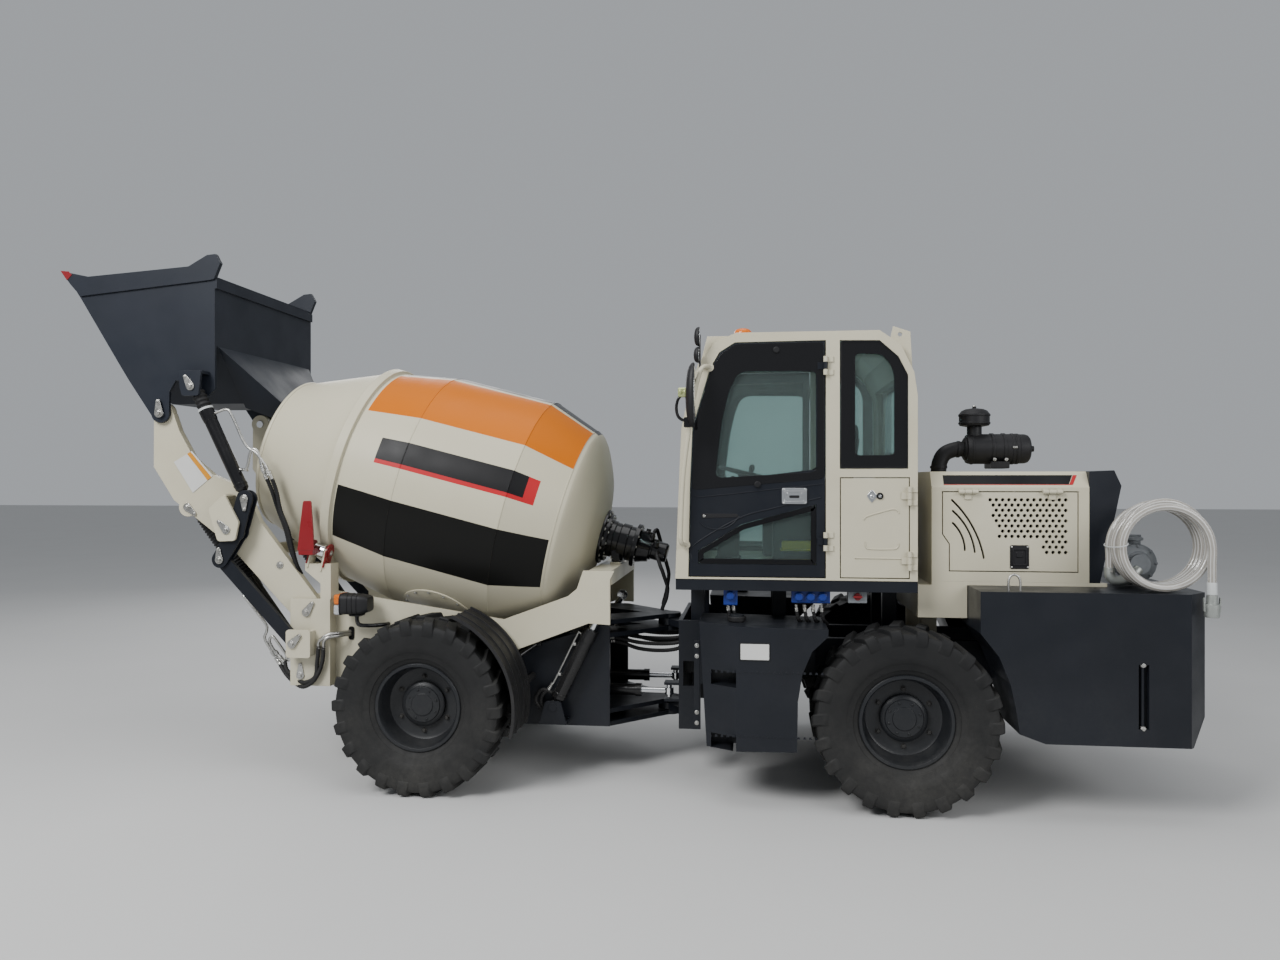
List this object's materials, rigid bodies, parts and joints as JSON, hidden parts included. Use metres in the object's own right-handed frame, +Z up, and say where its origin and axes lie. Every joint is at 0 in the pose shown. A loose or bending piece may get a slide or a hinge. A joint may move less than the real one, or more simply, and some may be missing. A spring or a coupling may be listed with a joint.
{
  "type": "self-loading concrete mixer",
  "caption": "Articulated self-loading concrete mixer with a tilting drum, a parallel-link loading shovel in front and a glazed cab behind.",
  "frame": {"origin": "middle of the bounding box on the ground plane", "axes": "-X forward over the shovel, +X to the rear, +Z up, -Y the cab door side in the picture"},
  "size_m": [7.174, 2.18, 3.414],
  "materials": {
    "black_paint": "semi-gloss",
    "cream_paint": "gloss",
    "drum_paint": "gloss",
    "charcoal_paint": "semi-gloss",
    "bucket_paint": "semi-gloss",
    "dark_trim": "matte",
    "tinted_glass": "clear",
    "seat_cover": "woven",
    "engine_iron": "rough",
    "rod_chrome": "polished",
    "tyre_rubber": "matte",
    "rim_paint": "semi-gloss",
    "hose_clear": "clear",
    "lamp_housing": "gloss"
  },
  "bodies": {
    "rear_module": {"rear_frame": "black_paint", "rear_axle": "black_paint", "cab_shell": "cream_paint", "cab_glass": "tinted_glass", "driver_seat": "seat_cover", "steering_column": "dark_trim", "fuel_tank": "charcoal_paint", "hydraulic_tank": "charcoal_paint", "water_tank": "charcoal_paint", "rear_deck": "cream_paint", "engine_hood": "cream_paint", "hood_rear_cap": "black_paint", "engine_block": "engine_iron", "air_cleaner": "dark_trim", "water_pump": "engine_iron", "cab_fittings": "dark_trim", "hose_riser": "hose_clear", "hose_coil": "hose_clear", "hose_tail": "hose_clear", "hose_coupling": "rod_chrome", "rear_lamps": "lamp_housing"},
    "left_cab_door": {"left_cab_door": "dark_trim", "left_door_glass": "tinted_glass"},
    "right_cab_door": {"right_cab_door": "dark_trim", "right_door_glass": "tinted_glass"},
    "left_locker_door": {"left_locker_door": "cream_paint"},
    "right_locker_door": {"right_locker_door": "cream_paint"},
    "left_hood_door": {"left_hood_door": "cream_paint"},
    "right_hood_door": {"right_hood_door": "cream_paint"},
    "front_module": {"front_frame": "black_paint", "front_axle": "black_paint", "front_fenders": "dark_trim"},
    "left_steering_barrel": {"left_steering_barrel": "black_paint"},
    "left_steering_rod": {"left_steering_rod": "rod_chrome"},
    "right_steering_barrel": {"right_steering_barrel": "black_paint"},
    "right_steering_rod": {"right_steering_rod": "rod_chrome"},
    "drum_frame": {"drum_frame": "cream_paint", "drum_gearbox": "black_paint", "mouth_rollers": "rod_chrome", "front_lamps": "dark_trim"},
    "drum": {"drum_shell": "drum_paint"},
    "tilt_barrels": {"tilt_barrels": "black_paint"},
    "tilt_rods": {"tilt_rods": "rod_chrome"},
    "loader_arm": {"loader_arm": "cream_paint"},
    "lift_barrels": {"lift_barrels": "black_paint"},
    "lift_rods": {"lift_rods": "rod_chrome"},
    "rockers": {"rockers": "black_paint"},
    "level_links": {"level_links": "black_paint"},
    "bucket_pins": {"bucket_pins": "rod_chrome"},
    "bucket": {"bucket": "bucket_paint"},
    "crowd_barrels": {"crowd_barrels": "black_paint"},
    "crowd_rods": {"crowd_rods": "rod_chrome"},
    "front_left_wheel": {"front_left_tyre": "tyre_rubber", "front_left_rim": "rim_paint"},
    "front_right_wheel": {"front_right_tyre": "tyre_rubber", "front_right_rim": "rim_paint"},
    "rear_left_wheel": {"rear_left_tyre": "tyre_rubber", "rear_left_rim": "rim_paint"},
    "rear_right_wheel": {"rear_right_tyre": "tyre_rubber", "rear_right_rim": "rim_paint"}
  },
  "joints": [
    {"name": "articulation", "type": "hinge", "parent": "rear_module", "child": "front_module", "pos_m": [0.4815, 0, 0.6], "axis": [0, 0, 1], "range_deg": [-35, 35]},
    {"name": "front_left_wheel_spin", "type": "hinge", "parent": "front_module", "child": "front_left_wheel", "pos_m": [-0.9685, -0.835, 0.5375], "axis": [0, 1, 0], "continuous": true},
    {"name": "front_right_wheel_spin", "type": "hinge", "parent": "front_module", "child": "front_right_wheel", "pos_m": [-0.9685, 0.835, 0.5375], "axis": [0, 1, 0], "continuous": true},
    {"name": "rear_left_wheel_spin", "type": "hinge", "parent": "rear_module", "child": "rear_left_wheel", "pos_m": [1.9315, -0.835, 0.5375], "axis": [0, 1, 0], "continuous": true},
    {"name": "rear_right_wheel_spin", "type": "hinge", "parent": "rear_module", "child": "rear_right_wheel", "pos_m": [1.9315, 0.835, 0.5375], "axis": [0, 1, 0], "continuous": true},
    {"name": "drum_frame_tilt", "type": "hinge", "parent": "front_module", "child": "drum_frame", "pos_m": [-1.2685, 0, 0.66], "axis": [0, -1, 0], "range_deg": [0, 20]},
    {"name": "drum_spin", "type": "hinge", "parent": "drum_frame", "child": "drum", "pos_m": [0.0155, 0, 1.531], "axis": [-0.9681, 0, 0.2504], "continuous": true},
    {"name": "arm_lift", "type": "hinge", "parent": "drum_frame", "child": "loader_arm", "pos_m": [-1.8285, 0, 1.063], "axis": [0, 1, 0], "range_deg": [-79, 0]},
    {"name": "rocker_swing", "type": "hinge", "parent": "loader_arm", "child": "rockers", "pos_m": [-2.3335, 0, 1.6], "axis": [0, 1, 0], "range_deg": [-1, 80]},
    {"name": "level_link_swing", "type": "hinge", "parent": "drum_frame", "child": "level_links", "pos_m": [-1.8885, 0, 0.868], "axis": [0, 1, 0], "range_deg": [-80, 1]},
    {"name": "bucket_levelling", "type": "hinge", "parent": "loader_arm", "child": "bucket_pins", "pos_m": [-2.8585, 0, 2.369], "axis": [0, 1, 0], "range_deg": [-1, 80]},
    {"name": "bucket_tilt", "type": "hinge", "parent": "bucket_pins", "child": "bucket", "pos_m": [-2.8585, 0, 2.369], "axis": [0, 1, 0], "range_deg": [-65, 10]},
    {"name": "crowd_barrel_swing", "type": "hinge", "parent": "rockers", "child": "crowd_barrels", "pos_m": [-2.2215, 0, 1.802], "axis": [0, 1, 0], "range_deg": [-11.5, 2.2]},
    {"name": "crowd_rod_slide", "type": "slide", "parent": "crowd_barrels", "child": "crowd_rods", "axis": [-0.4409, 0, 0.8976], "range_m": [-0.05, 0.308]},
    {"name": "lift_barrel_swing", "type": "hinge", "parent": "drum_frame", "child": "lift_barrels", "pos_m": [-1.8705, 0, 0.652], "axis": [0, 1, 0], "range_deg": [-75, 1]},
    {"name": "lift_rod_slide", "type": "slide", "parent": "lift_barrels", "child": "lift_rods", "axis": [-0.5956, 0, 0.8033], "range_m": [-0.53, 0.01]},
    {"name": "tilt_barrel_swing", "type": "hinge", "parent": "front_module", "child": "tilt_barrels", "pos_m": [-0.2215, 0, 0.461], "axis": [0, -1, 0], "range_deg": [-0.5, 22.6]},
    {"name": "tilt_rod_slide", "type": "slide", "parent": "tilt_barrels", "child": "tilt_rods", "axis": [0.4442, 0, 0.8959], "range_m": [-0.008, 0.378]},
    {"name": "left_steering_barrel_swing", "type": "hinge", "parent": "front_module", "child": "left_steering_barrel", "pos_m": [-0.0785, -0.23, 0.52], "axis": [0, 0, 1], "range_deg": [-1.25, 1.25]},
    {"name": "left_steering_rod_slide", "type": "slide", "parent": "left_steering_barrel", "child": "left_steering_rod", "axis": [0.9994, -0.0345, 0], "range_m": [-0.15, 0.15]},
    {"name": "right_steering_barrel_swing", "type": "hinge", "parent": "front_module", "child": "right_steering_barrel", "pos_m": [-0.0785, 0.23, 0.52], "axis": [0, 0, 1], "range_deg": [-1.25, 1.25]},
    {"name": "right_steering_rod_slide", "type": "slide", "parent": "right_steering_barrel", "child": "right_steering_rod", "axis": [0.9994, 0.0345, 0], "range_m": [-0.15, 0.15]},
    {"name": "left_cab_door_hinge", "type": "hinge", "parent": "rear_module", "child": "left_cab_door", "pos_m": [1.4845, -0.866, 2], "axis": [0, 0, 1], "range_deg": [0, 80]},
    {"name": "right_cab_door_hinge", "type": "hinge", "parent": "rear_module", "child": "right_cab_door", "pos_m": [1.4845, 0.866, 2], "axis": [0, 0, -1], "range_deg": [0, 80]},
    {"name": "left_locker_hinge", "type": "hinge", "parent": "rear_module", "child": "left_locker_door", "pos_m": [1.9685, -0.866, 1.64], "axis": [0, 0, 1], "range_deg": [0, 90]},
    {"name": "right_locker_hinge", "type": "hinge", "parent": "rear_module", "child": "right_locker_door", "pos_m": [1.9685, 0.866, 1.64], "axis": [0, 0, -1], "range_deg": [0, 90]},
    {"name": "left_hood_door_hinge", "type": "hinge", "parent": "rear_module", "child": "left_hood_door", "pos_m": [2.4815, -0.716, 1.854], "axis": [-1, 0, 0], "range_deg": [0, 75]},
    {"name": "right_hood_door_hinge", "type": "hinge", "parent": "rear_module", "child": "right_hood_door", "pos_m": [2.4815, 0.716, 1.854], "axis": [1, 0, 0], "range_deg": [0, 75]}
  ],
  "couplings": [
    {"joint": "rocker_swing", "follows": "arm_lift", "ratio": -1},
    {"joint": "level_link_swing", "follows": "arm_lift", "ratio": 1},
    {"joint": "bucket_levelling", "follows": "arm_lift", "ratio": -1},
    {"joint": "lift_barrel_swing", "follows": "arm_lift", "ratio": 0.936},
    {"joint": "lift_rod_slide", "follows": "arm_lift", "m_per_rad": 0.3757},
    {"joint": "crowd_barrel_swing", "follows": "bucket_tilt", "ratio": 0.168},
    {"joint": "crowd_rod_slide", "follows": "bucket_tilt", "m_per_rad": -0.262},
    {"joint": "tilt_barrel_swing", "follows": "drum_frame_tilt", "ratio": 1.1},
    {"joint": "tilt_rod_slide", "follows": "drum_frame_tilt", "m_per_rad": 1.057},
    {"joint": "right_steering_barrel_swing", "follows": "articulation", "ratio": -0.033},
    {"joint": "left_steering_barrel_swing", "follows": "articulation", "ratio": -0.033},
    {"joint": "right_steering_rod_slide", "follows": "articulation", "m_per_rad": 0.2357},
    {"joint": "left_steering_rod_slide", "follows": "articulation", "m_per_rad": -0.2357}
  ]
}
